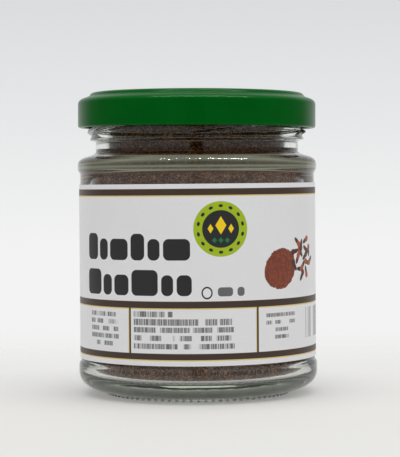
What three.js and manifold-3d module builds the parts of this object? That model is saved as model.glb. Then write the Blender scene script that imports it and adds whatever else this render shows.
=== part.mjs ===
/**
 * A shut twist-off jar of ground cloves: a clear glass jar with a recessed label panel, a green
 * lacquered tinplate lid held by four lugs, a paper label wrapped round the body, and the brown
 * powder that fills the jar to just under the lid.
 *
 * Millimetres, +Z up. The origin is the middle of the foot ring, on the surface that the jar
 * stands on. The front of the label faces -Y. Turns are counted from there towards +X.
 */
import * as THREE from "three";
import { mergeVertices } from "three/addons/utils/BufferGeometryUtils.js";
import Module from "manifold-3d";

// ---- driving dimensions --------------------------------------------------------------------
const turnSteps = 60; // facets round every turned piece
const curveSteps = 3; // facets along each rounded stretch of a profile
const fitGap = 0.3; // air kept between two pieces that touch in the real jar

const bodyRadius = 34.95; // the shoulder ring and the heel ring, the widest glass
const panelRadius = 34.25; // the recessed panel that takes the label
const panelLow = 10.4;
const panelHigh = 63.9;
const panelStep = 1.7; // height over which the panel blends into either ring

const footRadius = 26.9; // outer edge of the flat ring that the jar stands on
const footWidth = 1.7;
const footHeight = 0.85;
const footFlare = 0.3; // the ring widens by this much up to the heel
const dishRise = 1.6; // the underside is dished, so that only the foot touches
const heelDip = 1.9; // corner of the curve that rounds the heel
const heelHeight = 6.8; // where the heel's curve has become upright

const shoulderHeight = 66.6; // where the shoulder starts to turn in
const shoulderTop = 69.0;
const shoulderRound = 2.0; // width of the round that ends there
const neckRadius = 29.6; // the groove between the shoulder and the transfer bead
const neckLow = 70.6;
const beadLow = 73.4;
const beadRadius = 31.25;
const beadHeight = 1.1;
const beadUnder = 0.35; // height of the slope under the bead
const finishRadius = 30.4; // the upright wall that carries the threads
const finishLow = 76.4;
const rimHeight = 86.6;
const rimRound = 1.5;
const boreRadius = 25.8;

const cavityRadius = 31.45; // inside the body
const floorHeight = 5.6;
const floorRise = 0.7; // the floor swells up over the dished underside
const floorRound = 3.0; // inside corner between floor and wall
const cavityHigh = 64.2; // where the inside starts to close towards the neck
const cavityTop = 66.95; // where the round of the inner shoulder ends
const cavityRound = 4.2; // width of that round
const boreLow = 71.5;

const threadStarts = 4;
const threadSpan = 88; // degrees that each thread runs
const threadTurn = -98; // where the first thread's low end is
const threadLow = 75.7;
const threadRise = 4.75;
const threadRadial = 1.65; // half the thickness of the ridge, measured outwards
const threadAxial = 0.7; // half its height
const threadFade = 0.1; // share of the run over which each end sinks into the wall

const lidRadius = 34.75;
const lidLow = 77.4;
const lidHeight = 10.3;
const lidTilt = 0.4; // degrees by which it sits lower on the +X side
const sheet = 0.45; // the lacquered tinplate, drawn a little thick
const curlSize = 1.5; // the rolled bottom edge
const lidRound = 1.9; // round between the skirt and the top
const shoulderDrop = 1.6; // from the top of the ring to where that round starts
const creaseRadius = 31.5; // the crease round the foot of the raised ring
const creaseDrop = 1.1;
const ringOuter = 30.9;
const ringInner = 26.9;
const ringRound = 1.3;
const panelDrop = 0.9; // the middle of the lid lies lower than its ring
const panelEdge = 25.0;
const lugReach = 3.2; // how far each lug points inwards from the skirt
const lugWidth = 15; // degrees
const lugThick = 0.55;
const lugShare = 0.82; // where along its thread each lug has stopped

const labelLow = 10.9;
const labelHeight = 50.3;
const labelThick = 0.22;
const labelGap = 0.12; // glue line between the glass and the paper
const labelOpenSteps = 2; // facets left bare at the back, between the label's two ends
const labelSkew = 0.17; // degrees by which it was stuck on crooked

const fillHeight = 83.4; // mean level of the powder
const fillSwell = 0.75; // its slow rise and fall
const fillRings = 9; // rings of facets across the top

// ---- helpers -------------------------------------------------------------------------------
const wasm = await Module();
wasm.setup();

/** Turns points of radius and height, listed upwards on the outside, round +Z from the front. */
function turned(points) {
  return new THREE.LatheGeometry(points, turnSteps).rotateX(Math.PI / 2);
}

/** Point at a radius, turn in degrees and height. */
function around(radius, turn, height) {
  const angle = THREE.MathUtils.degToRad(turn);
  return new THREE.Vector3(radius * Math.sin(angle), -radius * Math.cos(angle), height);
}

function toSolid(geometry) {
  const bare = geometry.clone();
  bare.deleteAttribute("normal");
  bare.deleteAttribute("uv");
  const merged = mergeVertices(bare, 1e-4);
  return new wasm.Manifold(
    new wasm.Mesh({
      numProp: 3,
      vertProperties: merged.attributes.position.array,
      triVerts: new Uint32Array(merged.index.array),
    }),
  );
}

function toGeometry(solid) {
  const { vertProperties, triVerts } = solid.getMesh();
  const geometry = new THREE.BufferGeometry();
  geometry.setAttribute("position", new THREE.BufferAttribute(vertProperties, 3));
  geometry.setIndex(new THREE.BufferAttribute(triVerts, 1));
  geometry.computeVertexNormals();
  return geometry;
}

function mesh(name, geometry, material) {
  const made = new THREE.Mesh(geometry, material);
  made.name = name;
  return made;
}

// ---- glass jar -----------------------------------------------------------------------------
/** The inside of the glass from the bore down to the axis, drawn smaller by `inset`. */
function drawCavity(path, inset) {
  const bore = boreRadius - inset;
  const wall = cavityRadius - inset;
  const floor = floorHeight + inset;
  const slope = (boreLow - cavityTop) / 2;
  const ledge = cavityTop - inset;
  path.lineTo(bore, boreLow);
  path.quadraticCurveTo(bore, boreLow - slope, wall - cavityRound, ledge);
  path.quadraticCurveTo(wall, ledge - slope, wall, cavityHigh);
  path.lineTo(wall, floor + floorRound);
  path.quadraticCurveTo(wall, floor, wall - floorRound, floor);
  path.quadraticCurveTo(wall / 2, floor, 0, floor + floorRise);
}

function jarProfile() {
  const path = new THREE.Path();
  path.moveTo(0, dishRise);
  path.quadraticCurveTo(footRadius * 0.75, dishRise, footRadius - footWidth, 0);
  path.lineTo(footRadius, 0);
  path.lineTo(footRadius + footFlare, footHeight);
  path.quadraticCurveTo(bodyRadius, heelDip, bodyRadius, heelHeight);
  path.lineTo(bodyRadius, panelLow - panelStep);
  path.lineTo(panelRadius, panelLow);
  path.lineTo(panelRadius, panelHigh);
  path.lineTo(bodyRadius, panelHigh + panelStep);
  const slope = (neckLow - shoulderTop) / 2;
  path.lineTo(bodyRadius, shoulderHeight);
  path.quadraticCurveTo(bodyRadius, shoulderTop - slope, bodyRadius - shoulderRound, shoulderTop);
  path.quadraticCurveTo(neckRadius, neckLow - slope, neckRadius, neckLow);
  path.lineTo(neckRadius, beadLow);
  path.lineTo(beadRadius, beadLow + beadUnder);
  path.lineTo(beadRadius, beadLow + beadHeight);
  path.lineTo(finishRadius, finishLow);
  path.lineTo(finishRadius, rimHeight - rimRound);
  path.quadraticCurveTo(finishRadius, rimHeight, finishRadius - rimRound, rimHeight);
  path.lineTo(boreRadius + rimRound, rimHeight);
  path.quadraticCurveTo(boreRadius, rimHeight, boreRadius, rimHeight - rimRound);
  drawCavity(path, 0);
  return path;
}

/** The middle of one thread: a helix whose ends sink into the wall that carries it. */
class ThreadRun extends THREE.Curve {
  constructor(start) {
    super();
    this.start = start;
  }

  getPoint(share) {
    const fromEnd = Math.min(share, 1 - share) / threadFade;
    const sunk = (threadRadial + fitGap) * (1 - Math.min(1, fromEnd));
    const turn = this.start + threadSpan * share;
    return around(finishRadius - sunk, turn, threadLow + threadRise * share);
  }
}

function threadSolid(index) {
  const start = threadTurn + (index * 360) / threadStarts;
  const section = new THREE.Shape();
  section.absellipse(0, 0, threadRadial, threadAxial, 0, Math.PI * 2);
  const ridge = new THREE.ExtrudeGeometry(section, {
    steps: 16,
    curveSegments: 4,
    bevelEnabled: false,
    extrudePath: new ThreadRun(start),
  });
  return toSolid(ridge);
}

function makeJar() {
  let solid = toSolid(turned(jarProfile().getPoints(curveSteps)));
  for (let i = 0; i < threadStarts; i += 1) solid = solid.add(threadSolid(i));
  const glass = new THREE.MeshStandardMaterial({
    color: 0xe3ece4,
    roughness: 0.03,
    metalness: 0,
    transparent: true,
    opacity: 0.35,
  });
  return mesh("glass_jar", toGeometry(solid), glass);
}

// ---- lid -----------------------------------------------------------------------------------
/** One face of the pressed sheet from the middle out to the skirt, `inset` below the top face. */
function lidFace(inset) {
  const top = lidLow + lidHeight - inset;
  const wall = lidRadius - inset;
  const path = new THREE.Path();
  path.moveTo(0, top - panelDrop);
  path.lineTo(panelEdge - inset, top - panelDrop);
  path.quadraticCurveTo((panelEdge + ringInner) / 2, top, ringInner, top);
  path.lineTo(ringOuter - ringRound - inset / 2, top);
  path.quadraticCurveTo(ringOuter - inset, top, creaseRadius - inset, top - creaseDrop);
  const shoulder = top - shoulderDrop;
  path.lineTo(wall - lidRound, shoulder);
  path.quadraticCurveTo(wall, shoulder - lidRound * 0.3, wall, shoulder - lidRound);
  return path;
}

function lidProfile() {
  const inner = lidFace(sheet).getPoints(curveSteps);
  const outer = lidFace(0).getPoints(curveSteps).reverse();
  const path = new THREE.Path();
  path.setFromPoints(inner);
  const curlInner = lidRadius - curlSize;
  path.lineTo(lidRadius - sheet, lidLow + curlSize * 1.15);
  path.lineTo(curlInner, lidLow + curlSize * 0.75);
  path.lineTo(curlInner, lidLow + curlSize * 0.3);
  path.quadraticCurveTo(curlInner, lidLow, lidRadius - curlSize / 2, lidLow);
  path.quadraticCurveTo(lidRadius, lidLow, lidRadius, lidLow + curlSize / 2);
  outer.forEach((point) => path.lineTo(point.x, point.y));
  return path;
}

function lugSolid(index) {
  const middle = threadTurn + threadSpan * lugShare + (index * 360) / threadStarts;
  const from = THREE.MathUtils.degToRad(middle - lugWidth / 2 - 90);
  const to = THREE.MathUtils.degToRad(middle + lugWidth / 2 - 90);
  const outer = lidRadius - sheet;
  const sector = new THREE.Shape();
  sector.absarc(0, 0, outer, from, to, false);
  sector.absarc(0, 0, outer - lugReach, to, from, true);
  const lug = new THREE.ExtrudeGeometry(sector, {
    depth: lugThick,
    curveSegments: 3,
    bevelEnabled: false,
  });
  return toSolid(lug.translate(0, 0, lidLow));
}

function makeLid() {
  let solid = toSolid(turned(lidProfile().getPoints(curveSteps)));
  for (let i = 0; i < threadStarts; i += 1) solid = solid.add(lugSolid(i));
  const lacquer = new THREE.MeshStandardMaterial({
    color: 0x00641f,
    roughness: 0.22,
    metalness: 0.1,
  });
  const lid = mesh("lid", toGeometry(solid), lacquer);
  const tilt = THREE.MathUtils.degToRad(lidTilt);
  lid.rotation.y = tilt;
  lid.position.x = -lidLow * Math.sin(tilt);
  return lid;
}

// ---- label ---------------------------------------------------------------------------------
/** A flat strip bent round the panel, its facets lined up with those of the glass. */
function makeLabel() {
  const steps = turnSteps - labelOpenSteps;
  const sweep = (steps / turnSteps) * 360;
  const strip = new THREE.BoxGeometry(sweep, labelHeight, labelThick, steps, 1, 1);
  const places = strip.attributes.position;
  const inner = panelRadius + labelGap + labelThick / 2;
  const climb = Math.tan(THREE.MathUtils.degToRad(labelSkew)) * inner;
  for (let i = 0; i < places.count; i += 1) {
    const turn = places.getX(i);
    const height = labelLow + labelHeight / 2 + places.getY(i);
    const lift = climb * THREE.MathUtils.degToRad(turn);
    const point = around(inner + places.getZ(i), turn, height + lift);
    places.setXYZ(i, point.x, point.y, point.z);
  }
  const paper = new THREE.MeshStandardMaterial({
    color: 0xdedee2,
    roughness: 0.45,
    metalness: 0,
  });
  return mesh("label", toGeometry(toSolid(strip)), paper);
}

// ---- ground cloves -------------------------------------------------------------------------
/** How far the powder's surface lies above its mean level at a point of the plan. */
function swell(x, y) {
  const slow = Math.sin(x * 0.13 + 0.6) * Math.cos(y * 0.11 - 0.4);
  const quick = Math.sin(x * 0.41 + y * 0.23) * Math.cos(y * 0.37 - x * 0.19);
  return fillSwell * (0.7 * slow + 0.3 * quick);
}

function fillProfile() {
  const edge = boreRadius - fitGap;
  const path = new THREE.Path();
  path.moveTo(0, fillHeight);
  for (let i = 1; i <= fillRings; i += 1) path.lineTo((edge * i) / fillRings, fillHeight);
  drawCavity(path, fitGap);
  return path;
}

function makeCloves() {
  const heap = turned(fillProfile().getPoints(curveSteps).reverse());
  const places = heap.attributes.position;
  for (let i = 0; i < places.count; i += 1) {
    const onTop = Math.abs(places.getZ(i) - fillHeight) < 1e-3;
    if (onTop) places.setZ(i, fillHeight + swell(places.getX(i), places.getY(i)));
  }
  const powder = new THREE.MeshStandardMaterial({
    color: 0x5a4438,
    roughness: 0.95,
    metalness: 0,
  });
  return mesh("ground_cloves", toGeometry(toSolid(heap)), powder);
}

// ---- the whole jar -------------------------------------------------------------------------
const jarOfCloves = new THREE.Group();
jarOfCloves.add(makeJar(), makeLid(), makeLabel(), makeCloves());

export default jarOfCloves;
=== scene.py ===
"""A shut twist-off jar of ground cloves: clear glass, green lid, wrapped label and brown powder.

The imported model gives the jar's frame and outer box. Each piece but the loose grains and the floor
stands for one of its nodes and keeps to that node's sizes. Lengths are metres, and millimetres in
the label's print. Profiles are (radius, height) pairs, and turns are radians from the label's front
(-Y) towards +X.
"""

import math

import bpy
import numpy as np
from bpy.props import FloatProperty, FloatVectorProperty, IntProperty, PointerProperty
from mathutils import Matrix, Vector


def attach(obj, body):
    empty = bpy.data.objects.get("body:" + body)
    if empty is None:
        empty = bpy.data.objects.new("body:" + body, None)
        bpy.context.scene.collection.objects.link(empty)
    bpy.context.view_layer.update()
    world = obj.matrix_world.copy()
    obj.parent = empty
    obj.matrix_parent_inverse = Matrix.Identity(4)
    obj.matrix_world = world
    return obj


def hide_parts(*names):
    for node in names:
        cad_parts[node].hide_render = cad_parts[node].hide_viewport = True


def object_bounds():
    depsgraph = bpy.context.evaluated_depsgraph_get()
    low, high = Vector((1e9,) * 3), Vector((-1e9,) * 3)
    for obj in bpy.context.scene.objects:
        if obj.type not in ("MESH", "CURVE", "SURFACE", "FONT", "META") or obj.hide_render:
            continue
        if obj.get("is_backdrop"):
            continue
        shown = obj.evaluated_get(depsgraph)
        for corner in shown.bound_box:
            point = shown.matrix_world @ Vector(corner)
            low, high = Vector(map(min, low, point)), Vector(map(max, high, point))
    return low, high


bl_info = {
    "name": "Jar of Ground Cloves",
    "version": (1, 0, 0),
    "blender": (4, 5, 0),
    "location": "3D View > Sidebar > Clove Jar",
    "description": "Builds a twist-off jar with its lid, label and filling of ground cloves",
    "category": "Add Mesh",
}

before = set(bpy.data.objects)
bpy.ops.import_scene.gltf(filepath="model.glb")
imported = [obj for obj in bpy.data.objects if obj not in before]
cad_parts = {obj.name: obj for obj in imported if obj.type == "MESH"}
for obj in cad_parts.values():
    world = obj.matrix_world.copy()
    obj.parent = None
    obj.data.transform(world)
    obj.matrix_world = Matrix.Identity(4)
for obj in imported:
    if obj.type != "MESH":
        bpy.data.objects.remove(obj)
CAD_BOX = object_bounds()
MM = 0.001
FULL_TURN = 2 * math.pi


# ---- settings ----
def length(name, size_mm, description):
    return FloatProperty(
        name=name, description=description, default=size_mm * MM, unit="LENGTH", precision=5
    )


def share(name, value, description):
    return FloatProperty(
        name=name, description=description, default=value, min=0, max=1, subtype="FACTOR"
    )


def angle(name, degrees, description):
    return FloatProperty(
        name=name, description=description, default=math.radians(degrees), subtype="ANGLE"
    )


def number(name, value, description):
    return FloatProperty(name=name, description=description, default=value)


def count(name, value, description):
    return IntProperty(name=name, description=description, default=value)


def colour(name, value, description):
    return FloatVectorProperty(
        name=name, description=description, default=value, min=0, max=1, subtype="COLOR"
    )


class CloveJarGlass(bpy.types.PropertyGroup):
    foot_radius: length("Foot radius", 26.9, "Outer edge of the flat ring the jar stands on")
    foot_width: length("Foot width", 1.7, "Width of that ring")
    foot_height: length("Foot height", 0.85, "Height of the foot ring's outer side")
    foot_flare: length("Foot flare", 0.3, "How much the ring widens up to the heel")
    dish_rise: length("Dish", 1.6, "How high the underside is dished")
    polish: share("Glass roughness", 0.03, "Roughness of the smooth glass")
    under_frost: share("Underside frost", 0.4, "Roughness of the stippled underside")
    knurl_depth: length("Knurl depth", 0.35, "Depth of the notches moulded round the foot")
    knurls: count("Knurls", 80, "Notches round the foot")
    body_radius: length("Body radius", 34.95, "The shoulder ring and the heel ring")
    heel_dip: length("Heel corner", 1.9, "Corner of the curve that rounds the heel")
    heel_height: length("Heel height", 6.8, "Where the heel's curve is upright")
    panel_radius: length("Panel radius", 34.25, "The recessed panel that takes the label")
    panel_low: length("Panel bottom", 10.4, "Lower edge of the panel")
    panel_high: length("Panel top", 63.9, "Upper edge of the panel")
    panel_step: length("Panel step", 1.7, "Height over which the panel blends into a ring")
    shoulder_height: length("Shoulder", 66.6, "Where the shoulder starts to turn in")
    shoulder_top: length("Shoulder top", 69.0, "Where its round ends")
    shoulder_round: length("Shoulder round", 2.0, "Width of that round")
    neck_radius: length("Neck radius", 29.6, "The groove above the shoulder")
    neck_low: length("Neck bottom", 70.6, "Lower edge of the groove")
    bead_low: length("Bead bottom", 73.4, "Underside of the bead above the groove")
    bead_radius: length("Bead radius", 31.25, "Outer edge of the bead")
    bead_under: length("Bead underside", 0.35, "How much the bead's underside slopes")
    bead_height: length("Bead height", 1.1, "Height of the bead's edge")
    finish_radius: length("Finish radius", 30.4, "The wall that carries the threads")
    finish_low: length("Finish bottom", 76.4, "Lower edge of that wall")
    rim_height: length("Rim height", 86.6, "Top of the glass")
    rim_round: length("Rim round", 1.5, "Round of the rim")
    bore_radius: length("Bore radius", 25.8, "Inside of the neck")
    bore_low: length("Bore bottom", 71.5, "Where the inside starts to widen")
    cavity_radius: length("Inner radius", 31.45, "Inside of the body")
    cavity_high: length("Cavity top", 64.2, "Where the inside starts to close")
    cavity_top: length("Cavity shoulder", 66.95, "Where the round of the inner shoulder ends")
    cavity_round: length("Cavity round", 4.2, "Width of that round")
    floor_height: length("Floor", 5.6, "Inside of the base")
    floor_rise: length("Floor rise", 0.7, "How far the floor swells up in the middle")
    floor_round: length("Floor round", 3.0, "Inside corner between floor and wall")
    edge_round: length("Edge round", 0.25, "Round of the small moulded edges")
    thread_starts: count("Threads", 4, "Threads on the neck")
    thread_span: angle("Thread span", 88, "How far round each thread runs")
    thread_turn: angle("Thread start", -98, "Where the first thread's low end is")
    thread_low: length("Thread height", 75.7, "Height of each thread's low end")
    thread_rise: length("Thread rise", 4.75, "Climb of each thread")
    thread_radial: length("Thread depth", 1.65, "How far a thread stands out")
    thread_axial: length("Thread half height", 0.85, "Half the height of a thread")
    thread_fade: share("Thread fade", 0.1, "Share of the run over which its ends die away")
    tint: colour("Tint", (0.70, 0.79, 0.62), "Colour that light takes on in thick glass")
    tint_density: number("Tint density", 22, "How fast glass takes colour from light, per metre")
    shadow: colour("Shadow", (0.93, 0.94, 0.92), "Share of light that the shadow lets through")
    steps: count("Facets", 400, "Facets round the jar")


class CloveJarLid(bpy.types.PropertyGroup):
    radius: length("Lid radius", 34.75, "Outside of the skirt")
    low: length("Lid bottom", 77.4, "Height of the rolled edge")
    height: length("Lid height", 10.3, "Height of the lid")
    tilt: angle("Tilt", 0.4, "How far the lid sits lower on the +X side")
    sheet: length("Sheet", 0.45, "Thickness of the lacquered sheet")
    curl: length("Curl", 1.5, "Size of the rolled edge")
    skirt_round: length("Skirt round", 1.9, "Round between the skirt and the top")
    shoulder_drop: length("Shoulder drop", 1.6, "From the ring's top down to that round")
    crease_radius: length("Crease radius", 31.5, "The crease round the raised ring")
    crease_drop: length("Crease drop", 1.1, "Depth of the crease below the ring's top")
    crease_round: length("Crease round", 0.4, "Size of the crease's hollow round")
    ring_outer: length("Ring outside", 30.9, "Outer edge of the raised ring")
    ring_inner: length("Ring inside", 26.9, "Inner edge of the raised ring")
    ring_round: length("Ring round", 1.3, "Round of the ring's outer edge")
    panel_drop: length("Panel drop", 0.9, "How far the middle lies below the ring")
    panel_edge: length("Panel edge", 25.0, "Radius of the flat middle")
    lugs: count("Lugs", 4, "Lugs that grip the threads")
    lug_reach: length("Lug reach", 2.4, "How far each lug points inwards")
    lug_width: angle("Lug width", 15, "Width of each lug")
    lug_turn: angle("Lug turn", -26, "Where the first lug is")
    lacquer: colour("Lacquer", (0.0, 0.086, 0.007), "Colour of the lacquer")
    lining: colour("Lining", (0.84, 0.83, 0.78), "Colour of the lacquer inside the lid")
    steps: count("Facets", 300, "Facets round the lid")


class CloveJarLabel(bpy.types.PropertyGroup):
    low: length("Label bottom", 10.9, "Lower edge of the label")
    height: length("Label height", 50.3, "Height of the label")
    radius: length("Label radius", 34.58, "Outside of the paper")
    thickness: length("Thickness", 0.2, "Thickness of paper and glue")
    sweep: angle("Sweep", 348, "How far round the label reaches")
    skew: angle("Skew", 0.17, "How crooked it was stuck on")
    paper: colour("Paper", (0.86, 0.855, 0.875), "Colour of the bare paper")
    brown: colour("Bands", (0.055, 0.032, 0.018), "Colour of the bands and dividers")
    gold: colour("Gold line", (0.80, 0.60, 0.16), "Colour of the thin lines under the bands")
    ink: colour("Ink", (0.02, 0.019, 0.021), "Colour of the dark blocks and rows")
    lime: colour("Lime", (0.39, 0.54, 0.003), "Colour of the seal's ring")
    yellow: colour("Yellow", (1.0, 0.70, 0.003), "Colour of the seal's lozenges")
    emerald: colour("Emerald", (0.002, 0.2, 0.07), "Colour of the seal's small shapes")
    mound: colour("Mound", (0.29, 0.062, 0.028), "Colour of the printed heap")
    stalk: colour("Stalk", (0.085, 0.03, 0.018), "Colour of the printed cloves")
    steps: count("Facets", 360, "Facets along the label")


class CloveJarPowder(bpy.types.PropertyGroup):
    fill_height: length("Fill height", 83.4, "Mean level of the powder")
    swell: length("Swell", 0.75, "Rise and fall of its top")
    wall_gap: length("Wall gap", 0.07, "Mean distance of the powder from the glass")
    relief: length("Relief", 0.05, "How unevenly the grains stand out at the wall")
    show_high: length("Label top", 60.6, "The powder's wall has fine facets above this height")
    show_low: length("Label bottom", 11.2, "The powder's wall has fine facets below this height")
    grains: count("Grains", 900, "Loose grains on top")
    grain_size: length("Grain size", 0.3, "Mean radius of a loose grain")
    dark: colour("Dark", (0.022, 0.008, 0.002), "Colour of the darkest grains")
    middle: colour("Middle", (0.090, 0.031, 0.007), "Mean colour of the powder")
    light: colour("Light", (0.42, 0.215, 0.10), "Colour of the palest grains")
    # Painted light: the pale grey-green band laid on the powder under the inner shoulder stands in
    # for light that the thick glass there bends round from the bright surroundings; the powder
    # itself is brown.
    ledge: colour("Ledge", (0.86, 0.88, 0.68), "Pale grey-green under the inner shoulder")
    painted_light_low: length("Ledge bottom", 65.75, "Where the grey-green starts")
    painted_light_high: length("Ledge top", 66.8, "Where the grey-green ends")
    # Painted shade: the powder in the neck is darkened for the shadow of the lid.
    painted_neck_shade: share("Neck shade", 0.65, "Share of its brightness that powder keeps in the neck")
    steps: count("Facets", 560, "Facets round the powder")


class CloveJarStage(bpy.types.PropertyGroup):
    floor: colour("Floor", (0.59, 0.584, 0.564), "Colour of the floor")
    floor_glow: share("Floor glow", 0.2, "Light that comes up through the floor")
    floor_reach: length("Floor reach", 1080, "Radius of the floor")
    floor_fade: length("Floor fade", 230, "Where the floor has faded into the backdrop")
    backdrop_low: colour("Backdrop", (0.895, 0.895, 0.895), "Backdrop near the floor")
    backdrop_high: colour("Backdrop top", (0.70, 0.717, 0.73), "Backdrop above the jar")
    tent_front: share("Front brightness", 0.35, "Brightness of the tent in front of the jar")
    tent_top: number("Top brightness", 1.3, "Brightness of the tent overhead, near the lamp")
    slit: angle("Slit", 13, "Width of the dark slit in front, where the camera stands")
    ambient: number("Ambient", 0.6, "Brightness of the soft light from all round")
    key_power: number("Key power", 5.0, "Power of the large soft lamp overhead, in watts")
    key_size: length("Key size", 700, "Width of the soft lamp")
    strip_power: number("Strip power", 0.15, "Power of each small lamp of the ceiling strip")
    strip_lamps: count("Strip lamps", 25, "Small lamps in the ceiling strip")
    strip_lamp: length("Strip lamp size", 18, "Width of each of them")
    camera_height: length("Camera height", 62.3, "Height of the camera")
    camera_distance: length("Camera distance", 534.4, "Distance of the camera from the jar's axis")
    camera_aside: length("Camera aside", 0.77, "How far the camera stands to the right")
    camera_pitch: angle("Camera pitch", 1.536, "How far the camera looks down")
    camera_roll: angle("Camera roll", 0.3913, "How far the camera leans")
    camera_lens: number("Lens", 143.36, "Focal length in mm on a 36 mm sensor")


# ---- modelling helpers ----
def around(radius, turn, height):
    return Vector((radius * math.sin(turn), -radius * math.cos(turn), height))


def trace(start, *stretches):
    """Points along a profile. A stretch is (end, steps) for a line, (end, steps, corner) for a
    round one that heads for its corner first, and (end, steps, "ease") for a soft step."""
    points = [start]
    for end, steps, *shape in stretches:
        begin = points[-1]
        for i in range(1, steps + 1):
            t = i / steps
            if not shape:
                point = [begin[k] + (end[k] - begin[k]) * t for k in (0, 1)]
            elif shape[0] == "ease":
                eased = (t * t * (3 - 2 * t), t)
                point = [begin[k] + (end[k] - begin[k]) * eased[k] for k in (0, 1)]
            else:
                weights = ((1 - t) ** 2, 2 * t * (1 - t), t * t)
                point = [
                    sum(w * p[k] for w, p in zip(weights, (begin, shape[0], end))) for k in (0, 1)
                ]
            points.append(tuple(point))
    return points


def turned(name, profile, steps, sweep=FULL_TURN):
    """A turned piece: one point is extruded along the profile, and the line is turned."""
    bpy.ops.object.select_all(action="DESELECT")
    bpy.ops.mesh.primitive_plane_add(size=MM)
    piece = bpy.context.object
    piece.name = piece.data.name = name
    bpy.ops.object.mode_set(mode="EDIT")
    bpy.ops.mesh.select_mode(type="VERT")
    bpy.ops.mesh.select_all(action="SELECT")
    bpy.ops.mesh.merge(type="CENTER")
    start = 0 if sweep == FULL_TURN else -sweep / 2
    here = Vector()
    for index, (radius, height) in enumerate(profile):
        there = around(radius, start, height)
        if index:
            bpy.ops.mesh.extrude_region_move(TRANSFORM_OT_translate={"value": there - here})
        else:
            bpy.ops.transform.translate(value=there)
        here = there
    bpy.ops.object.mode_set(mode="OBJECT")
    screw = piece.modifiers.new("Turn", "SCREW")
    screw.angle = sweep
    screw.steps = screw.render_steps = steps
    bpy.ops.object.modifier_apply(modifier=screw.name)
    bpy.ops.object.mode_set(mode="EDIT")
    bpy.ops.mesh.select_all(action="SELECT")
    bpy.ops.mesh.remove_doubles(threshold=0.001 * MM)
    bpy.ops.mesh.fill_holes(sides=0)
    bpy.ops.mesh.normals_make_consistent(inside=False)
    bpy.ops.object.mode_set(mode="OBJECT")
    return piece


def vertex_rows(piece, name):
    """Three numbers for each vertex: its place ("co") or its normal ("normal")."""
    rows = np.empty(len(piece.data.vertices) * 3)
    piece.data.vertices.foreach_get(name, rows)
    return rows.reshape(-1, 3)


def set_places(piece, places):
    piece.data.vertices.foreach_set("co", places.ravel())
    piece.data.update()


def reshape(piece, change):
    """Moves every vertex: change(radius, turn, height) gives the new radius and height."""
    places = vertex_rows(piece, "co")
    turn = np.arctan2(places[:, 0], -places[:, 1])
    radius, height = change(np.hypot(places[:, 0], places[:, 1]), turn, places[:, 2])
    set_places(piece, np.stack([radius * np.sin(turn), -radius * np.cos(turn), height], axis=1))


def smoothstep(value):
    value = np.clip(value, 0, 1)
    return value * value * (3 - 2 * value)


def finish_piece(piece, material, node=None, smooth=35):
    """Shades a piece, gives it its material and sets it on the frame in its node's place."""
    bpy.ops.object.select_all(action="DESELECT")
    bpy.context.view_layer.objects.active = piece
    piece.select_set(True)
    bpy.ops.object.shade_smooth_by_angle(angle=math.radians(smooth))
    piece.data.materials.clear()
    piece.data.materials.append(material)
    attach(piece, "root")
    if node:
        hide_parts(node)


# ---- node helpers ----
def plug(tree, socket, value):
    """Joins a socket to another one, or sets its value. A colour may be given as three numbers."""
    if isinstance(value, bpy.types.NodeSocket):
        tree.links.new(value, socket)
    elif socket.type == "RGBA" and len(value) == 3:
        socket.default_value = (*value, 1)
    else:
        socket.default_value = value


def add(tree, kind, inputs=(), **settings):
    node = tree.nodes.new(kind)
    for name, value in settings.items():
        setattr(node, name, value)
    for key, value in dict(inputs).items():
        plug(tree, node.inputs[key], value)
    return node


def maths(tree, operation, *values):
    return add(tree, "ShaderNodeMath", enumerate(values), operation=operation).outputs[0]


def chained(tree, operation, values):
    result = values[0]
    for value in values[1:]:
        result = maths(tree, operation, result, value)
    return result


def product(tree, *values):
    return chained(tree, "MULTIPLY", values)


def total(tree, *values):
    return chained(tree, "ADD", values)


def difference(tree, first, second):
    return maths(tree, "SUBTRACT", first, second)


def hypotenuse(tree, x, y):
    return maths(tree, "SQRT", total(tree, product(tree, x, x), product(tree, y, y)))


def mixed(tree, factor, low, high, blend="MIX"):
    """A mix of two colours."""
    inputs = {0: factor, 6: low, 7: high}
    return add(tree, "ShaderNodeMix", inputs, data_type="RGBA", blend_type=blend).outputs[2]


def ranged(tree, value, low, high, new_low=0.0, new_high=1.0, way="LINEAR"):
    inputs = {0: value, 1: low, 2: high, 3: new_low, 4: new_high}
    return add(tree, "ShaderNodeMapRange", inputs, interpolation_type=way).outputs[0]


def noise(tree, place, scale, detail=2.0, roughness=0.5):
    inputs = {"Vector": place, "Scale": scale, "Detail": detail, "Roughness": roughness}
    return add(tree, "ShaderNodeTexNoise", inputs).outputs[0]


def chance(tree, key):
    """A random number from 0 to 1 for each key."""
    return add(tree, "ShaderNodeTexWhiteNoise", {"W": key}, noise_dimensions="1D").outputs[0]


def joined(tree, x, y, z=0.0):
    return add(tree, "ShaderNodeCombineXYZ", {0: x, 1: y, 2: z}).outputs[0]


def parts_of(tree, vector):
    return add(tree, "ShaderNodeSeparateXYZ", {0: vector}).outputs


def new_group(name, sockets_in, sockets_out):
    """A new node group: its tree, the sockets that come in and the sockets that go out."""
    tree = bpy.data.node_groups.new(name, "ShaderNodeTree")
    for side, sockets in (("INPUT", sockets_in), ("OUTPUT", sockets_out)):
        for socket, kind in sockets.items():
            tree.interface.new_socket(socket, in_out=side, socket_type="NodeSocket" + kind)
    return tree, tree.nodes.new("NodeGroupInput").outputs, tree.nodes.new("NodeGroupOutput").inputs


def place_group(tree, group, **inputs):
    node = tree.nodes.new("ShaderNodeGroup")
    node.node_tree = group
    for key, value in inputs.items():
        plug(tree, node.inputs[key], value)
    return node.outputs


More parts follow.
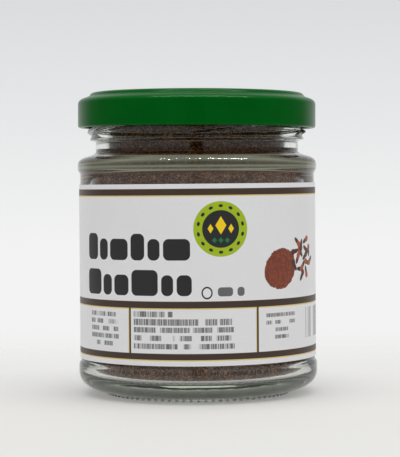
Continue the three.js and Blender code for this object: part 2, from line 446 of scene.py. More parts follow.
def new_material(name, **values):
    """A material with one Principled BSDF, whose plain values are set on its own sockets."""
    material = bpy.data.materials.new(name)
    material.use_nodes = True
    tree = material.node_tree
    tree.nodes.clear()
    shader = add(tree, "ShaderNodeBsdfPrincipled")
    for key, value in values.items():
        plug(tree, shader.inputs[key.replace("_", " ")], value)
    output = add(tree, "ShaderNodeOutputMaterial", {"Surface": shader.outputs[0]})
    return material, tree, shader, output


def object_place(tree):
    return add(tree, "ShaderNodeTexCoord").outputs["Object"]


def bump(tree, height, distance):
    inputs = {"Height": height, "Distance": distance, "Strength": 1.0}
    return add(tree, "ShaderNodeBump", inputs).outputs[0]


# ---- shared effects ----
def grain_group():
    """Powder grains: an uneven height, and how dark or pale each grain is."""
    tree, given, out = new_group(
        "Powder grains", {"Place": "Vector", "Size": "Float"}, {"Height": "Float", "Tone": "Float"}
    )
    per_metre = maths(tree, "DIVIDE", 1.0, given["Size"])
    cells = add(tree, "ShaderNodeTexVoronoi", {"Vector": given["Place"], "Scale": per_metre})
    hump = ranged(tree, cells.outputs["Distance"], 0.0, 0.8, 1.0, 0.0)
    fine = noise(tree, given["Place"], product(tree, per_metre, 1.7), 3.0, 0.65)
    plug(tree, out["Height"], total(tree, product(tree, hump, 0.6), product(tree, fine, 0.6)))
    own = parts_of(tree, cells.outputs["Color"])[0]
    broad = noise(tree, given["Place"], product(tree, per_metre, 0.12), 4.0, 0.6)
    weights = ((own, 0.38), (fine, 0.34), (broad, 0.28))
    plug(tree, out["Tone"], total(tree, *(product(tree, part, weight) for part, weight in weights)))
    return tree


def ripple_group():
    """The slow waves of moulded glass and the orange peel of lacquer."""
    tree, given, out = new_group(
        "Surface ripple", {"Place": "Vector", "Wave": "Float", "Fine": "Float"}, {"Height": "Float"}
    )
    slow = noise(tree, given["Place"], maths(tree, "DIVIDE", 1.0, given["Wave"]), 1.0, 0.4)
    quick = noise(tree, given["Place"], maths(tree, "DIVIDE", 1.0, given["Fine"]), 2.0, 0.5)
    plug(tree, out["Height"], total(tree, slow, product(tree, quick, 0.15)))
    return tree


# ---- the glass ----
def cavity(s, steps=(4, 28, 4, 14, 6)):
    """The stretches of the jar's inside, from the bore's bottom down to the middle of the floor."""
    bore, neck, wall, corner, floor = steps
    slope = (s.bore_low - s.cavity_top) / 2
    ledge = (s.cavity_radius - s.cavity_round, s.cavity_top)
    return [
        ((s.bore_radius, s.bore_low), bore),
        (ledge, neck // 2, (s.bore_radius, s.bore_low - slope)),
        ((s.cavity_radius, s.cavity_high), neck // 2, (s.cavity_radius, s.cavity_top - slope)),
        ((s.cavity_radius, s.floor_height + s.floor_round), wall),
        (
            (s.cavity_radius - s.floor_round, s.floor_height),
            corner,
            (s.cavity_radius, s.floor_height),
        ),
        ((0, s.floor_height + s.floor_rise), floor, (s.cavity_radius / 2, s.floor_height)),
    ]


def glass_profile(s):
    edge = s.edge_round
    foot_inner = s.foot_radius - s.foot_width
    slope = (s.neck_low - s.shoulder_top) / 2
    bead_under = s.bead_low + s.bead_under
    bead_top = s.bead_low + s.bead_height
    bead_round = 2 * edge
    return trace(
        (0, s.dish_rise),
        ((foot_inner - edge, edge), 12, (s.foot_radius * 0.75, s.dish_rise)),
        ((foot_inner + edge, 0), 3, (foot_inner, 0)),
        ((s.foot_radius - edge, 0), 3),
        ((s.foot_radius, edge), 3, (s.foot_radius, 0)),
        ((s.foot_radius + s.foot_flare, s.foot_height), 4),
        ((s.body_radius, s.heel_height), 16, (s.body_radius, s.heel_dip)),
        ((s.body_radius, s.panel_low - s.panel_step), 2),
        ((s.panel_radius, s.panel_low), 6, "ease"),
        ((s.panel_radius, s.panel_high), 5),
        ((s.body_radius, s.panel_high + s.panel_step), 6, "ease"),
        ((s.body_radius, s.shoulder_height), 2),
        (
            (s.body_radius - s.shoulder_round, s.shoulder_top),
            12,
            (s.body_radius, s.shoulder_top - slope),
        ),
        ((s.neck_radius, s.neck_low), 10, (s.neck_radius, s.neck_low - slope)),
        ((s.neck_radius, s.bead_low - edge), 4),
        ((s.neck_radius + edge, s.bead_low), 4, (s.neck_radius, s.bead_low)),
        ((s.bead_radius - bead_round, bead_under), 3),
        ((s.bead_radius, bead_under + edge), 4, (s.bead_radius, bead_under)),
        ((s.bead_radius - edge / 2, bead_top), 4, (s.bead_radius, bead_top - edge / 2)),
        ((s.finish_radius, s.finish_low), 9),
        ((s.finish_radius, s.rim_height - s.rim_round), 42),
        (
            (s.finish_radius - s.rim_round, s.rim_height),
            5,
            (s.finish_radius, s.rim_height),
        ),
        ((s.bore_radius + s.rim_round, s.rim_height), 1),
        (
            (s.bore_radius, s.rim_height - s.rim_round),
            5,
            (s.bore_radius, s.rim_height),
        ),
        *cavity(s),
    )


def thread_bulge(s, turn, height):
    """How far the threads stand out of the neck's wall at a turn and a height."""
    bulge = np.zeros_like(turn)
    for start in range(s.thread_starts):
        begin = s.thread_turn + start * FULL_TURN / s.thread_starts
        run = np.mod(turn - begin, FULL_TURN) / s.thread_span
        ends = smoothstep(np.minimum(run, 1 - run) / s.thread_fade)
        off = (height - s.thread_low - s.thread_rise * run) / s.thread_axial
        bulge = np.maximum(bulge, ends * np.clip(1 - off * off, 0, None) ** 0.8)
    return s.thread_radial * bulge


def build_glass(s):
    piece = turned("jar_glass", glass_profile(s), s.steps)
    threads_low = s.bead_low + s.bead_height

    def mould(radius, turn, height):
        outside = (radius > s.finish_radius - s.edge_round) & (height > threads_low)
        outside &= height < s.rim_height - s.rim_round
        threaded = np.maximum(radius, s.finish_radius + thread_bulge(s, turn, height))
        radius = np.where(outside, threaded, radius)
        foot = (height < s.foot_height) & (radius > s.foot_radius - s.foot_width - s.edge_round)
        notch = foot * (1 - height / s.foot_height) * (0.5 - 0.5 * np.cos(s.knurls * turn))
        outer = radius > s.foot_radius - s.edge_round
        return radius - outer * notch * s.knurl_depth, height + notch * s.knurl_depth

    reshape(piece, mould)
    return piece


def glass_material(s, ripple):
    material, tree, shader, output = new_material(
        "Clear glass", Base_Color=(1, 1, 1), IOR=1.52, Transmission_Weight=1.0
    )
    place = object_place(tree)
    x, y, z = parts_of(tree, place)
    under = product(
        tree,
        maths(tree, "LESS_THAN", z, s.dish_rise + s.edge_round),
        maths(tree, "LESS_THAN", hypotenuse(tree, x, y), s.foot_radius - s.edge_round),
    )
    plug(tree, shader.inputs["Roughness"], ranged(tree, under, 0.0, 1.0, s.polish, s.under_frost))
    height = place_group(tree, ripple, Place=place, Wave=0.012, Fine=0.003)[0]
    plug(tree, shader.inputs["Normal"], bump(tree, height, 0.06 * MM))
    volume = add(
        tree, "ShaderNodeVolumeAbsorption", {"Color": tuple(s.tint), "Density": s.tint_density}
    )
    plug(tree, output.inputs["Volume"], volume.outputs[0])
    shade = add(tree, "ShaderNodeBsdfTransparent", {"Color": tuple(s.shadow)})
    shadow_ray = add(tree, "ShaderNodeLightPath").outputs["Is Shadow Ray"]
    mix = add(
        tree, "ShaderNodeMixShader", {0: shadow_ray, 1: shader.outputs[0], 2: shade.outputs[0]}
    )
    plug(tree, output.inputs["Surface"], mix.outputs[0])
    return material


# ---- the lid ----
def towards(start, end, distance):
    """The point at a distance from start, on the way to end."""
    part = distance / math.dist(start, end)
    return tuple(a + (b - a) * part for a, b in zip(start, end))


def lid_face(s, inset):
    """One face of the lid's sheet, from the middle of its top out and down the skirt."""
    top = s.low + s.height - inset
    wall = s.radius - inset
    shoulder = top - s.shoulder_drop
    ring_edge = s.ring_outer - s.ring_round - inset / 2
    ring_corner = (s.ring_outer - inset, top)
    crease = (s.crease_radius - inset, top - s.crease_drop)
    skirt_start = (wall - s.skirt_round, shoulder)
    return (0, top - s.panel_drop), [
        ((s.panel_edge - inset, top - s.panel_drop), 8),
        ((s.ring_inner, top), 8, ((s.panel_edge + s.ring_inner) / 2, top)),
        ((ring_edge, top), 4),
        (towards(crease, ring_corner, s.crease_round), 8, ring_corner),
        (towards(crease, skirt_start, s.crease_round), 6, crease),
        (skirt_start, 3),
        ((wall, shoulder - s.skirt_round), 10, (wall, shoulder - s.skirt_round * 0.3)),
    ]


def build_lid(s):
    outer_start, outer = lid_face(s, 0)
    inner_start, inner = lid_face(s, s.sheet)
    curl_inner = s.radius - s.curl
    outside = trace(outer_start, *outer, ((s.radius, s.low + s.curl / 2), 5))
    inside = trace(
        inner_start,
        *inner,
        ((s.radius - s.sheet, s.low + s.curl * 1.15), 5),
        ((curl_inner, s.low + s.curl * 0.3), 6, (curl_inner, s.low + s.curl * 0.75)),
        ((s.radius - s.curl / 2, s.low), 6, (curl_inner, s.low)),
        ((s.radius, s.low + s.curl / 2), 6, (s.radius, s.low)),
    )
    piece = turned("lid_cap", inside + outside[-2::-1], s.steps)

    def press_lugs(radius, turn, height):
        nearest = np.mod(turn - s.lug_turn, FULL_TURN / s.lugs)
        nearest = np.minimum(nearest, FULL_TURN / s.lugs - nearest)
        window = smoothstep((s.lug_width / 2 - nearest) / (s.lug_width / 4) + 0.5)
        low = smoothstep((s.low + s.curl * 1.15 - height) / (s.curl * 0.4))
        inward = smoothstep((s.radius - s.curl * 0.4 - radius) / (s.curl * 0.5))
        return radius - s.lug_reach * window * low * inward, height

    reshape(piece, press_lugs)
    mark_inside(piece, s.low + 1.2 * s.curl)
    pivot = Matrix.Translation((0, 0, s.low))
    tilt = Matrix.Rotation(s.tilt, 4, "Y")
    piece.data.transform(pivot @ tilt @ pivot.inverted())
    return piece


def mark_inside(piece, low):
    """Marks the faces that look inwards above a height, for the pale lacquer inside the lid."""
    places, normals = vertex_rows(piece, "co"), vertex_rows(piece, "normal")
    outwards = (places[:, :2] * normals[:, :2]).sum(1)
    looks_in = (normals[:, 2] < -0.1) | ((outwards < 0) & (normals[:, 2] < 0.2))
    inside = piece.data.attributes.new("inside", "FLOAT", "POINT")
    inside.data.foreach_set("value", (looks_in & (places[:, 2] > low)).astype(float))


def lid_material(s, ripple):
    material, tree, shader, _ = new_material(
        "Green lacquer",
        Roughness=0.28,
        IOR=1.5,
        Specular_IOR_Level=0.05,
        Specular_Tint=(0.0, 0.9, 0.1),
        Coat_Weight=0.17,
        Coat_Roughness=0.1,
        Coat_IOR=1.3,
    )
    place = object_place(tree)
    cloud = noise(tree, place, 90.0, 3.0)
    pale = [c * 1.2 for c in s.lacquer]
    tone = mixed(tree, ranged(tree, cloud, 0.3, 0.7), tuple(s.lacquer), pale)
    inside = add(tree, "ShaderNodeAttribute", attribute_name="inside").outputs["Fac"]
    plug(tree, shader.inputs["Base Color"], mixed(tree, inside, tone, tuple(s.lining)))
    height = place_group(tree, ripple, Place=place, Wave=0.006, Fine=0.0012)[0]
    normal = bump(tree, height, 0.008 * MM)
    plug(tree, shader.inputs["Normal"], normal)
    plug(tree, shader.inputs["Coat Normal"], normal)
    return material


# ---- the label ----
def build_label(s):
    inner = s.radius - s.thickness
    high = s.low + s.height
    corners = trace(
        (inner, s.low), ((s.radius, s.low), 1), ((s.radius, high), 12), ((inner, high), 1),
        ((inner, s.low), 1),
    )
    piece = turned("wrap_label", corners, s.steps, s.sweep)

    def skewed(radius, turn, height):
        return radius, height + math.tan(s.skew) * s.radius * turn

    reshape(piece, skewed)
    return piece


# Places and widths in the print: mm across from the label's middle and up from the jar's foot.
PRINT_BLUR = 0.08
PAST_ENDS = 150
BANDS = ((58.05, 59.87), (26.88, 28.78), (12.59, 14.33))
DIVIDERS = (-19.96, 17.37)
DIVIDER_HALF = 0.3
GOLD_UNDER = (0.32, 0.02)
GOLD_BESIDE = (0.55, 0.25)


def mask_group(name, sockets):
    """A new node group that turns numbers into one mask."""
    tree, given, out = new_group(name, {socket: "Float" for socket in sockets}, {"Mask": "Float"})
    return tree, given, out["Mask"]


def soft_edge(tree, off):
    """1 inside a printed shape and 0 outside, from the distance past its edge."""
    return ranged(tree, off, PRINT_BLUR / 2, -PRINT_BLUR / 2)


def box_group():
    """A printed box with round corners."""
    sides = ("Across", "Up", "Left", "Right", "Bottom", "Top", "Round")
    tree, given, mask = mask_group("Printed box", sides)

    def outside(at, low, high):
        middle = product(tree, total(tree, low, high), 0.5)
        half = product(tree, difference(tree, high, low), 0.5)
        off = difference(tree, maths(tree, "ABSOLUTE", difference(tree, at, middle)), half)
        return maths(tree, "MAXIMUM", total(tree, off, given["Round"]), 0.0)

    across = outside(given["Across"], given["Left"], given["Right"])
    up = outside(given["Up"], given["Bottom"], given["Top"])
    off = difference(tree, hypotenuse(tree, across, up), given["Round"])
    plug(tree, mask, soft_edge(tree, off))
    return tree


def oval_group():
    """A printed oval, turned about its centre. A Point of 1 sharpens it into a lozenge."""
    names = ("Across", "Up", "Centre across", "Centre up", "Wide", "High", "Turn", "Point")
    tree, given, mask = mask_group("Printed oval", names)
    x = difference(tree, given["Across"], given["Centre across"])
    y = difference(tree, given["Up"], given["Centre up"])
    cosine = maths(tree, "COSINE", given["Turn"])
    sine = maths(tree, "SINE", given["Turn"])
    along = total(tree, product(tree, x, cosine), product(tree, y, sine))
    aside = difference(tree, product(tree, y, cosine), product(tree, x, sine))
    along = maths(tree, "ABSOLUTE", maths(tree, "DIVIDE", along, given["Wide"]))
    aside = maths(tree, "ABSOLUTE", maths(tree, "DIVIDE", aside, given["High"]))
    power = difference(tree, 2.0, given["Point"])
    reach = total(tree, maths(tree, "POWER", along, power), maths(tree, "POWER", aside, power))
    reach = maths(tree, "POWER", reach, maths(tree, "DIVIDE", 1.0, power))
    small = maths(tree, "MINIMUM", given["Wide"], given["High"])
    plug(tree, mask, soft_edge(tree, product(tree, difference(tree, reach, 1.0), small)))
    return tree


def row_group():
    """Rows of small grey marks with gaps and ragged ends."""
    names = ("Across", "Up", "Left", "Right", "Top", "Pitch", "Rows", "Size", "Ragged", "Seed")
    tree, given, mask = mask_group("Small rows", names)
    down = maths(tree, "DIVIDE", difference(tree, given["Top"], given["Up"]), given["Pitch"])
    row = maths(tree, "FLOOR", down)
    in_row = product(tree, maths(tree, "FRACT", down), given["Pitch"])
    key = total(tree, product(tree, row, 7.31), given["Seed"])
    right = difference(tree, given["Right"], product(tree, chance(tree, key), given["Ragged"]))
    inside = [
        maths(tree, "GREATER_THAN", given["Across"], given["Left"]),
        maths(tree, "LESS_THAN", given["Across"], right),
        maths(tree, "GREATER_THAN", down, 0.0),
        maths(tree, "LESS_THAN", down, given["Rows"]),
        maths(tree, "LESS_THAN", in_row, given["Size"]),
    ]
    gaps = noise(tree, joined(tree, given["Across"], product(tree, key, 3.7)), 0.32, 0.0)
    ticks = noise(tree, joined(tree, given["Across"], product(tree, key, 9.1)), 2.9, 0.0)
    marks = ranged(tree, ticks, 0.36, 0.56, 0.25, 1.0)
    plug(tree, mask, product(tree, ranged(tree, gaps, 0.36, 0.4), marks, *inside))
    return tree


def bars_group():
    """Plain upright bars of uneven width."""
    tree, given, mask = mask_group("Uneven bars", ("Across", "Module", "Seed"))
    cell = maths(tree, "FLOOR", maths(tree, "DIVIDE", given["Across"], given["Module"]))
    key = total(tree, cell, given["Seed"])
    plug(tree, mask, maths(tree, "GREATER_THAN", chance(tree, key), 0.47))
    return tree


class Print:
    """The label's print: masks in mm across and up, laid over each other in colour."""

    def __init__(self, tree, across, up, base):
        self.tree, self.across, self.up, self.colour = tree, across, up, base
        self.boxes, self.ovals = box_group(), oval_group()
        self.rows, self.bars = row_group(), bars_group()

    def lay(self, mask, tint, strength=1.0):
        if strength != 1.0:
            mask = product(self.tree, mask, strength)
        self.colour = mixed(self.tree, mask, self.colour, tuple(tint))

    def shape(self, group, **inputs):
        return place_group(self.tree, group, Across=self.across, **inputs)[0]

    def box(self, left, right, bottom, top, round_=0.05):
        sides = {"Left": left, "Right": right, "Bottom": bottom, "Top": top, "Round": round_}
        return self.shape(self.boxes, Up=self.up, **sides)

    def oval(self, centre, wide, high=None, turn=0.0, point=0.0):
        inputs = {"Centre across": centre[0], "Centre up": centre[1], "Wide": wide}
        inputs.update({"High": high or wide, "Turn": turn, "Point": point})
        return self.shape(self.ovals, Up=self.up, **inputs)

    def small_rows(self, *values):
        names = ("Left", "Right", "Top", "Pitch", "Rows", "Size", "Ragged", "Seed")
        return self.shape(self.rows, Up=self.up, **dict(zip(names, map(float, values))))


def print_bands(sheet, s):
    """Three brown bands with a thin gold line under each, and the dividers between two of them."""
    for bottom, top in BANDS:
        line = [bottom - below for below in GOLD_UNDER]
        sheet.lay(sheet.box(-PAST_ENDS, PAST_ENDS, *line), s.gold)
        sheet.lay(sheet.box(-PAST_ENDS, PAST_ENDS, bottom, top), s.brown)
    low, high = BANDS[2][1], BANDS[1][0]
    for at in DIVIDERS:
        line = [at - beside for beside in GOLD_BESIDE]
        sheet.lay(sheet.box(*line, low, high), s.gold)
        sheet.lay(sheet.box(at - DIVIDER_HALF, at + DIVIDER_HALF, low - 0.1, high + 0.1), s.brown)


def print_blocks(sheet, s):
    """Two rows of heavy round blocks, then a small ring and two small blocks."""
    rows = ((-38.2, 40.1, 6.6, (5.4, 3.6, 6.6, 4.4, 3.6, 7.6)),
            (-38.4, 30.3, 6.4, (7.2, 3.6, 5.2, 8.2, 3.4, 4.2)))
    gap, round_, rises = 1.0, 1.6, (1.12, 0.9, 0.9)
    for left, bottom, high, widths in rows:
        for index, wide in enumerate(widths):
            top = bottom + high * rises[index % len(rises)]
            sheet.lay(sheet.box(left, left + wide, bottom, top, round_), s.ink)
            left += wide + gap
    ring = (2.6, 31.1)
    sheet.lay(sheet.oval(ring, 1.55, 1.75), s.ink)
    sheet.lay(sheet.oval(ring, 1.15, 1.3), s.paper)
    for left, right in ((5.6, 9.9), (11.2, 13.3)):
        sheet.lay(sheet.box(left, right, 30.1, 32.6, 0.9), s.ink, 0.85)


def print_seal(sheet, s):
    """A round seal: a lime ring with dark beads round a dark disc with plain lozenges."""
    across, up = 6.56, 48.7
    ring, disc, beads, bead_ring = 7.65, 5.2, 14, 6.4
    sheet.lay(sheet.oval((across, up), ring), s.lime)
    for bead in range(beads):
        turn = FULL_TURN * bead / beads
        at = (across + bead_ring * math.sin(turn), up + bead_ring * math.cos(turn))
        sheet.lay(sheet.oval(at, 0.62, 0.42, -turn), s.ink)
    sheet.lay(sheet.oval((across, up), disc), s.ink)
    for aside, above, size in ((0, 1.0, 2.5), (-2.9, 0.1, 1.3), (2.9, 0.1, 1.3)):
        at = (across + aside, up + above)
        sheet.lay(sheet.oval(at, size * 0.62, size, 0.0, 1.0), s.yellow)
    for aside in (-1.8, 0.0, 1.8):
        sheet.lay(sheet.oval((across + aside, up - 3.1), 0.75, 0.75, 0.0, 1.0), s.emerald)


def print_picture(sheet, s, speckle):
    """A small picture: a heap of brown powder with plain cloves strewn beside it.

    The renderer holds only so many shapes on one label. With ten cloves more, it turns black.
    """
    tree = sheet.tree
    level = sheet.up
    sheet.up = total(tree, level, product(tree, difference(tree, speckle, 0.5), 1.6))
    shade = [c * 0.55 for c in s.mound]
    grainy = mixed(tree, ranged(tree, speckle, 0.35, 0.65), shade, tuple(s.mound))
    mask = sheet.oval((25.8, 37.2), 6.4, 5.6, 0.5, 0.15)
    sheet.colour = mixed(tree, mask, sheet.colour, grainy)
    sheet.up = level
    warm = [c * w for c, w in zip(s.stalk, (4.6, 3.2, 2.2))]
    middle, spread, cloves, stalk = (36.2, 40.2), 5.6, 16, 1.1
    for index in range(cloves):
        reach = spread * math.sqrt((index + 0.6) / cloves)
        way, turn = 2.4 * index, 1.7 * index + 0.6
        across = middle[0] + 1.05 * reach * math.cos(way)
        up = middle[1] + reach * math.sin(way)
        head = (across + stalk * math.cos(turn), up + stalk * math.sin(turn))
        sheet.lay(sheet.oval((across, up), 1.6, 0.62, turn), s.stalk)
        sheet.lay(sheet.oval(head, 0.98, 0.86, turn, 0.1), warm if index % 3 else s.stalk)


def print_small(sheet, s):
    """Small grey rows in the three panels and on the label's far sides, and plain bars."""
    # Left end, right end, top, pitch, number of rows, height of a mark, raggedness, seed.
    rows = (
        (-36.6, -24.0, 25.5, 2.05, 5, 1.25, 3.0, 11),
        (-18.7, -7.0, 26.0, 9.0, 1, 1.55, 0.1, 4),
        (-18.7, 9.6, 23.9, 9.0, 1, 1.75, 0.1, 23),
        (-18.7, 13.6, 21.6, 2.27, 3, 1.45, 6.5, 5),
        (20.2, 32.0, 24.9, 2.05, 2, 1.05, 0.6, 31),
        (23.2, 29.0, 20.8, 2.05, 2, 1.05, 0.6, 3),
        (54.0, 98.0, 25.4, 2.1, 5, 1.2, 9.0, 8),
        (56.0, 96.0, 54.0, 2.3, 10, 1.3, 12.0, 17),
        (-96.0, -52.0, 25.4, 2.1, 5, 1.2, 9.0, 13),
        (-94.0, -54.0, 54.0, 2.3, 10, 1.3, 12.0, 29),
    )
    for row in rows:
        sheet.lay(sheet.small_rows(*row), s.ink, 0.82)
    bars = sheet.shape(sheet.bars, Module=0.36, Seed=3.0)
    sheet.lay(product(sheet.tree, bars, sheet.box(37.9, 50.6, 17.0, 25.7)), s.ink, 0.9)


def label_material(s):
    material, tree, shader, _ = new_material("Printed paper", Roughness=0.42, IOR=1.45)
    place = object_place(tree)
    x, y, z = parts_of(tree, place)
    turn = maths(tree, "ARCTAN2", x, product(tree, y, -1.0))
    across = product(tree, turn, s.radius / MM)
    lift = product(tree, across, math.tan(s.skew))
    up = difference(tree, product(tree, z, 1 / MM), lift)
    fibres = noise(tree, place, 1500.0, 4.0, 0.6)
    paper = mixed(tree, fibres, [c * 0.96 for c in s.paper], [min(1, c * 1.03) for c in s.paper])
    sheet = Print(tree, across, up, paper)
    print_bands(sheet, s)
    print_blocks(sheet, s)
    print_seal(sheet, s)
    print_picture(sheet, s, noise(tree, place, 1100.0, 3.0, 0.6))
    print_small(sheet, s)
    plug(tree, shader.inputs["Base Color"], sheet.colour)
    slow = noise(tree, place, 110.0, 2.0)
    height = total(tree, product(tree, fibres, 0.08), slow)
    plug(tree, shader.inputs["Normal"], bump(tree, height, 0.03 * MM))
    return material


# ---- the powder ----
def powder_level(s, x, y):
    """Height of the powder's top: it rises and falls a little."""
    x, y = x / MM, y / MM
    broad = np.sin(0.13 * x + 0.6) * np.cos(0.11 * y - 0.4)
    close = np.sin(0.41 * x + 0.23 * y) * np.cos(0.37 * y - 0.19 * x)
    return s.fill_height + s.swell * (0.7 * broad + 0.3 * close)


def build_powder(s, jar):
    """The powder fills the jar, and its grain tips reach into the wall. Under the inner shoulder
    all of it reaches there, and over the floor it lies smooth and just clear of the glass."""
    outline = cavity(jar, (32, 40, 1, 24, 14))
    wall_low = outline[3][0]
    outline[3:4] = [
        ((jar.cavity_radius, s.show_high), 10),
        ((jar.cavity_radius, s.show_low), 10),
        (wall_low, 4),
    ]
    profile = trace((0, s.fill_height), ((jar.bore_radius, s.fill_height), 16), *outline)
    piece = turned("clove_powder", profile, s.steps)
    places, normals = vertex_rows(piece, "co"), vertex_rows(piece, "normal")
    top = places[:, 2] > s.fill_height - 0.1 * MM
    places[top, 2] = powder_level(s, places[top, 0], places[top, 1])
    random = np.random.default_rng(7)
    grain = np.clip(random.normal(size=len(places)), -2, 2) * s.relief
    grain[places[:, 2] < jar.floor_height + jar.floor_rise + s.relief] = 0
    ledge = (places[:, 2] > jar.cavity_high) & (places[:, 2] < jar.bore_low)
    places += normals * np.where(ledge, s.wall_gap, grain - s.wall_gap)[:, None]
    set_places(piece, places)
    return piece


def build_grains(s, jar):
    """Loose grains strewn over the powder's top, all in one mesh."""
    bpy.ops.object.select_all(action="DESELECT")
    bpy.ops.mesh.primitive_ico_sphere_add(subdivisions=1, radius=1)
    seed = bpy.context.object
    corners = np.array([v.co for v in seed.data.vertices])
    faces = np.array([p.vertices for p in seed.data.polygons])
    bpy.data.objects.remove(seed)
    random = np.random.default_rng(21)
    reach = (jar.bore_radius - 3 * s.grain_size) * np.sqrt(random.random(s.grains))
    turns = random.random(s.grains) * FULL_TURN
    x, y = reach * np.sin(turns), reach * np.cos(turns)
    sizes = s.grain_size * random.uniform(0.5, 1.3, (s.grains, 1, 3))
    lumps = corners[None] * random.uniform(0.8, 1.2, (s.grains, len(corners), 1)) * sizes
    centres = np.stack([x, y, powder_level(s, x, y) + 0.4 * s.grain_size], axis=1)
    places = (lumps + centres[:, None]).reshape(-1, 3)
    offsets = np.arange(s.grains)[:, None, None] * len(corners)
    mesh = bpy.data.meshes.new("loose_grains")
    mesh.from_pydata(places.tolist(), [], (faces[None] + offsets).reshape(-1, 3).tolist())
    piece = bpy.data.objects.new("loose_grains", mesh)
    bpy.context.collection.objects.link(piece)
    return piece


def powder_material(s, jar, grains):
    material, tree, shader, _ = new_material(
        "Ground cloves", Roughness=0.95, IOR=1.3, Specular_IOR_Level=0.03
    )
    place = object_place(tree)
    heights, tone = place_group(tree, grains, Place=place, Size=0.34 * MM)[0:2]
    dark = mixed(tree, ranged(tree, tone, 0.28, 0.5), tuple(s.dark), tuple(s.middle))
    shades = mixed(tree, ranged(tree, tone, 0.52, 0.78), dark, tuple(s.light))
    z = parts_of(tree, place)[2]
    # Painted shade: the powder darkens from the top of the painted ledge light up to the bore's
    # bottom, and stays dark above, for the lid's shadow.
    neck = ranged(tree, z, s.painted_light_high, jar.bore_low, 1.0, s.painted_neck_shade)
    shades = mixed(tree, 1.0, shades, joined(tree, neck, neck, neck), "MULTIPLY")
    # Painted light: a pale grey-green band on the powder under the inner shoulder, for light carried
    # round in the thick glass.
    rise, fall = 0.4 * MM, 0.6 * MM
    ledge = product(
        tree,
        ranged(tree, z, s.painted_light_low, s.painted_light_low + rise),
        ranged(tree, z, s.painted_light_high, s.painted_light_high - fall),
    )
    shades = mixed(tree, ledge, shades, tuple(s.ledge))
    plug(tree, shader.inputs["Base Color"], shades)
    plug(tree, shader.inputs["Normal"], bump(tree, heights, 0.15 * MM))
    return material


# ---- the stage ----
# Where the tent's shades change, as parts of a unit direction, and the lamps' places in metres.
BACKDROP_RISE = (-0.035, 0.1)
TENT_BEHIND = (0.5, 0.78)
TENT_OVERHEAD = (0.45, 0.85)
AIM = Vector((0, 0, 0.045))
KEY_PLACE = Vector((0.06, -0.11, 1.0))
STRIP_START = Vector((-0.22, -0.05, 0.59))
STRIP_LENGTH = 0.52


def build_floor(s):
    bpy.ops.object.select_all(action="DESELECT")
    bpy.ops.mesh.primitive_circle_add(vertices=96, radius=s.floor_reach, fill_type="NGON")
    floor = bpy.context.object
    floor.name = "floor"
    material, tree, shader, _ = new_material("Pale floor", Roughness=0.7, Specular_IOR_Level=0.25)
    place = object_place(tree)
    cloud = noise(tree, place, 14.0, 3.0)
    tone = mixed(tree, cloud, [c * 0.985 for c in s.floor], tuple(s.floor))
    plug(tree, shader.inputs["Base Color"], tone)
    plug(tree, shader.inputs["Emission Color"], (1, 1, 0.992))
    plug(tree, shader.inputs["Emission Strength"], s.floor_glow)
    behind = parts_of(tree, place)[1]
    fade = ranged(tree, behind, -0.1 * s.floor_fade, s.floor_fade, 1.0, 0.0, "SMOOTHSTEP")
    plug(tree, shader.inputs["Alpha"], fade)
    floor.data.materials.append(material)
    floor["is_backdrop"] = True


def build_world(s):
    """Backdrop and soft light: a white tent with a dark slit in front, where the camera stands."""
    world = bpy.data.worlds.new("Studio")
    bpy.context.scene.world = world
    world.use_nodes = True
    tree = world.node_tree
    tree.nodes.clear()
    x, y, z = parts_of(tree, add(tree, "ShaderNodeTexCoord").outputs["Generated"])
    rise = ranged(tree, z, *BACKDROP_RISE)
    backdrop = mixed(tree, rise, tuple(s.backdrop_low), tuple(s.backdrop_high))
    level = maths(tree, "MAXIMUM", hypotenuse(tree, x, y), 0.001)
    behind = maths(tree, "DIVIDE", y, level)
    bright = ranged(tree, behind, *TENT_BEHIND, s.tent_front, 1.0, "SMOOTHSTEP")
    overhead = ranged(tree, z, *TENT_OVERHEAD, 0.0, s.tent_top, "SMOOTHSTEP")
    bright = maths(tree, "MAXIMUM", bright, overhead)
    slit = ranged(tree, behind, -math.cos(s.slit / 2), -math.cos(s.slit * 0.65))
    tent = mixed(tree, product(tree, bright, slit), (0, 0, 0), backdrop)
    path = add(tree, "ShaderNodeLightPath").outputs
    deep = maths(tree, "MINIMUM", path["Diffuse Depth"], 1.0)
    direct = mixed(tree, path["Is Camera Ray"], tent, backdrop)
    light = mixed(tree, deep, direct, [s.ambient] * 3)
    background = add(tree, "ShaderNodeBackground", {"Color": light, "Strength": 1.0})
    add(tree, "ShaderNodeOutputWorld", {"Surface": background.outputs[0]})


def add_lamp(name, power, size, place):
    """A square lamp that shines on the middle of the jar and isn't seen through the glass."""
    data = bpy.data.lights.new(name, "AREA")
    data.energy, data.size = power, size
    lamp = bpy.data.objects.new(name, data)
    lamp.location = place
    lamp.rotation_euler = (AIM - lamp.location).to_track_quat("-Z", "Y").to_euler()
    lamp.visible_transmission = False
    bpy.context.collection.objects.link(lamp)
    return lamp


def build_lamps(s):
    """A large soft lamp that leaves no glint, and a strip of small ones that only make glints."""
    add_lamp("Soft lamp", s.key_power, s.key_size, KEY_PLACE).visible_glossy = False
    for index in range(s.strip_lamps):
        across = Vector((STRIP_LENGTH * index / (s.strip_lamps - 1), 0, 0))
        lamp = add_lamp("Strip lamp", s.strip_power, s.strip_lamp, STRIP_START + across)
        lamp.visible_diffuse = False


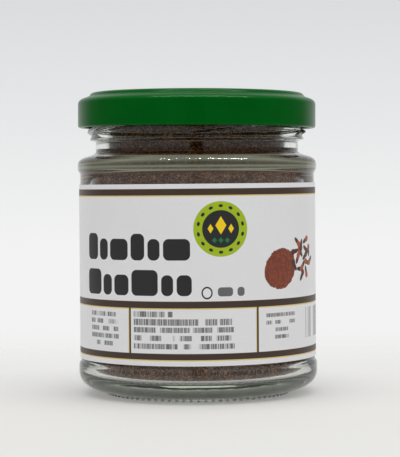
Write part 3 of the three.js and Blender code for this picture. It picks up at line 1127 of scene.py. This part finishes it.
def build_camera(s):
    pitch, roll = s.camera_pitch, s.camera_roll
    forward = Vector((0, math.cos(pitch), -math.sin(pitch)))
    upright = Vector((0, math.sin(pitch), math.cos(pitch)))
    aside = Vector((1, 0, 0))
    right = aside * math.cos(roll) - upright * math.sin(roll)
    up = aside * math.sin(roll) + upright * math.cos(roll)
    data = bpy.data.cameras.new("Camera")
    data.lens = s.camera_lens
    data.clip_start, data.clip_end = 0.01, 20
    camera = bpy.data.objects.new("Camera", data)
    turn = Matrix((right, up, -forward)).transposed().to_4x4()
    place = Vector((s.camera_aside, -s.camera_distance, s.camera_height))
    camera.matrix_world = Matrix.Translation(place) @ turn
    bpy.context.collection.objects.link(camera)
    bpy.context.scene.camera = camera


# ---- operators and panel ----
def shared(name, make):
    return bpy.data.node_groups.get(name) or make()


class CLOVEJAR_OT_stage(bpy.types.Operator):
    """Sets up the camera, the floor, the backdrop and the lamps"""
    bl_idname = "clove_jar.stage"
    bl_label = "Stage"

    def execute(self, context):
        s = context.scene.clove_jar_stage
        build_camera(s)
        build_floor(s)
        build_world(s)
        build_lamps(s)
        context.scene.view_settings.view_transform = "Standard"
        return {"FINISHED"}


class CLOVEJAR_OT_glass(bpy.types.Operator):
    """Builds the glass jar with its foot, shoulder, bead and threads"""
    bl_idname = "clove_jar.glass"
    bl_label = "Glass"

    def execute(self, context):
        s = context.scene.clove_jar_glass
        piece = build_glass(s)
        material = glass_material(s, shared("Surface ripple", ripple_group))
        finish_piece(piece, material, "glass_jar", 50)
        return {"FINISHED"}


class CLOVEJAR_OT_lid(bpy.types.Operator):
    """Builds the lacquered twist-off lid with its curl and lugs"""
    bl_idname = "clove_jar.lid"
    bl_label = "Lid"

    def execute(self, context):
        s = context.scene.clove_jar_lid
        material = lid_material(s, shared("Surface ripple", ripple_group))
        finish_piece(build_lid(s), material, "lid", 50)
        return {"FINISHED"}


class CLOVEJAR_OT_label(bpy.types.Operator):
    """Builds the wrapped paper label and its print"""
    bl_idname = "clove_jar.label"
    bl_label = "Label"

    def execute(self, context):
        s = context.scene.clove_jar_label
        finish_piece(build_label(s), label_material(s), "label")
        return {"FINISHED"}


class CLOVEJAR_OT_powder(bpy.types.Operator):
    """Builds the ground cloves and the loose grains on top"""
    bl_idname = "clove_jar.powder"
    bl_label = "Powder"

    def execute(self, context):
        s, jar = context.scene.clove_jar_powder, context.scene.clove_jar_glass
        material = powder_material(s, jar, shared("Powder grains", grain_group))
        finish_piece(build_powder(s, jar), material, "ground_cloves", 60)
        finish_piece(build_grains(s, jar), material)
        return {"FINISHED"}


SETTINGS = {
    "clove_jar_glass": CloveJarGlass,
    "clove_jar_lid": CloveJarLid,
    "clove_jar_label": CloveJarLabel,
    "clove_jar_powder": CloveJarPowder,
    "clove_jar_stage": CloveJarStage,
}
OPERATORS = (
    CLOVEJAR_OT_stage,
    CLOVEJAR_OT_glass,
    CLOVEJAR_OT_powder,
    CLOVEJAR_OT_label,
    CLOVEJAR_OT_lid,
)


class CLOVEJAR_PT_panel(bpy.types.Panel):
    bl_idname = "CLOVEJAR_PT_panel"
    bl_label = "Clove Jar"
    bl_space_type = "VIEW_3D"
    bl_region_type = "UI"
    bl_category = "Clove Jar"

    def draw(self, context):
        for operator in OPERATORS:
            self.layout.operator(operator.bl_idname)


CLASSES = (*SETTINGS.values(), *OPERATORS, CLOVEJAR_PT_panel)


def register():
    for cls in CLASSES:
        bpy.utils.register_class(cls)
    for name, cls in SETTINGS.items():
        setattr(bpy.types.Scene, name, PointerProperty(type=cls))


def unregister():
    for name in SETTINGS:
        delattr(bpy.types.Scene, name)
    for cls in reversed(CLASSES):
        bpy.utils.unregister_class(cls)


def main():
    register()
    bpy.ops.clove_jar.stage()
    bpy.ops.clove_jar.glass()
    bpy.ops.clove_jar.powder()
    bpy.ops.clove_jar.label()
    bpy.ops.clove_jar.lid()
    boxes = {"cad": CAD_BOX, "visual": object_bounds()}
    boxes = {name: [list(corner) for corner in box] for name, box in boxes.items()}


if __name__ == "__main__":
    main()
